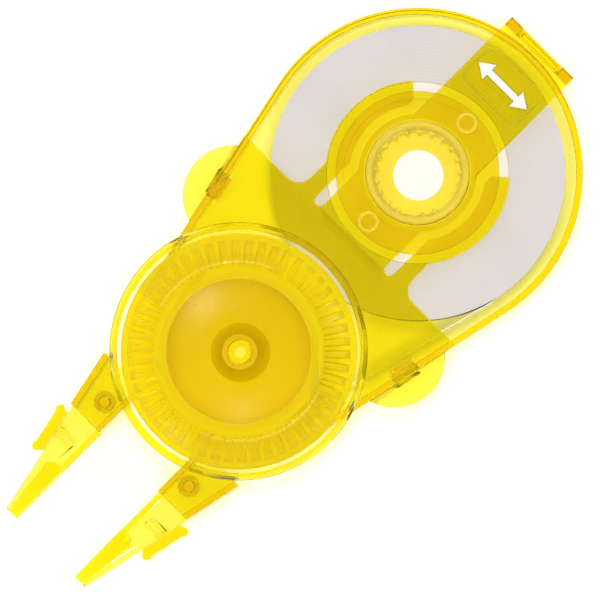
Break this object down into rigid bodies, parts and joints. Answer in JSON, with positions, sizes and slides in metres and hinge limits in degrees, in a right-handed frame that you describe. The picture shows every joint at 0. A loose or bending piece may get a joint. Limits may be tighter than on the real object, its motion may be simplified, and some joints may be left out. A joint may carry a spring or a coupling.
{
  "type": "correction tape refill cartridge",
  "caption": "Flat two-reel correction tape refill with a splined supply hub, ribbed finger wheel, latch tongue and two prongs that flank the tape head.",
  "frame": {"origin": "on the supply reel's axis, at the rear face of the case", "axes": "+X from the supply reel to the prong tips, +Z out of the front cover, along both reel axes"},
  "size_m": [0.0599, 0.028, 0.0095],
  "materials": {
    "case_plastic": "translucent yellow, polished",
    "cover_plastic": "translucent yellow, polished",
    "tongue_plastic": "translucent yellow, polished",
    "collar_plastic": "pale translucent yellow, polished",
    "hub_plastic": "translucent yellow",
    "washer_rubber": "soft, matt",
    "spool_plastic": "deep translucent yellow",
    "core_plastic": "white",
    "tape": "edges of wound tape, faintly ringed",
    "tape_strip": "thin film",
    "reel_plastic": "translucent yellow",
    "wheel_plastic": "translucent yellow",
    "liner": "thin film",
    "splice_film": "adhesive film",
    "roller_plastic": "smooth",
    "guide_plastic": "translucent yellow"
  },
  "bodies": {
    "case": {"rear_case": "case_plastic", "front_cover": "cover_plastic", "wheel_collar": "collar_plastic", "tape_leader": "tape_strip", "tape_guide_left": "guide_plastic", "tape_guide_right": "guide_plastic"},
    "tongue": {"latch_tongue": "tongue_plastic"},
    "supply": {"supply_spool": "spool_plastic", "tape_core": "core_plastic", "tape_roll": "tape"},
    "hub": {"supply_hub": "hub_plastic", "clutch_washer": "washer_rubber"},
    "take_up": {"take_up_spool": "reel_plastic", "take_up_wheel": "wheel_plastic", "used_tape": "liner", "leader_splice": "splice_film"},
    "roller_left": {"guide_roller_left": "roller_plastic"},
    "roller_right": {"guide_roller_right": "roller_plastic"}
  },
  "joints": [
    {"name": "supply_spin", "type": "hinge", "parent": "case", "child": "supply", "pos_m": [0, 0, 0.004], "axis": [0, 0, 1], "continuous": true},
    {"name": "hub_slip", "type": "hinge", "parent": "supply", "child": "hub", "pos_m": [0, 0, 0.004], "axis": [0, 0, 1], "continuous": true},
    {"name": "take_up_spin", "type": "hinge", "parent": "case", "child": "take_up", "pos_m": [0.0214, 0, 0.004], "axis": [0, 0, 1], "continuous": true},
    {"name": "tongue_lift", "type": "hinge", "parent": "case", "child": "tongue", "pos_m": [0.008, 0, 0.00796], "axis": [0, 1, 0], "range_deg": [0, 5], "stiffness_Nm_per_rad": 0.2},
    {"name": "roller_left_spin", "type": "hinge", "parent": "case", "child": "roller_left", "pos_m": [0.0325, -0.00505, 0.004], "axis": [0, 0, 1], "continuous": true},
    {"name": "roller_right_spin", "type": "hinge", "parent": "case", "child": "roller_right", "pos_m": [0.0325, 0.00505, 0.004], "axis": [0, 0, 1], "continuous": true}
  ],
  "couplings": [
    {"joint": "take_up_spin", "follows": "supply_spin", "ratio": 1.7606}
  ]
}
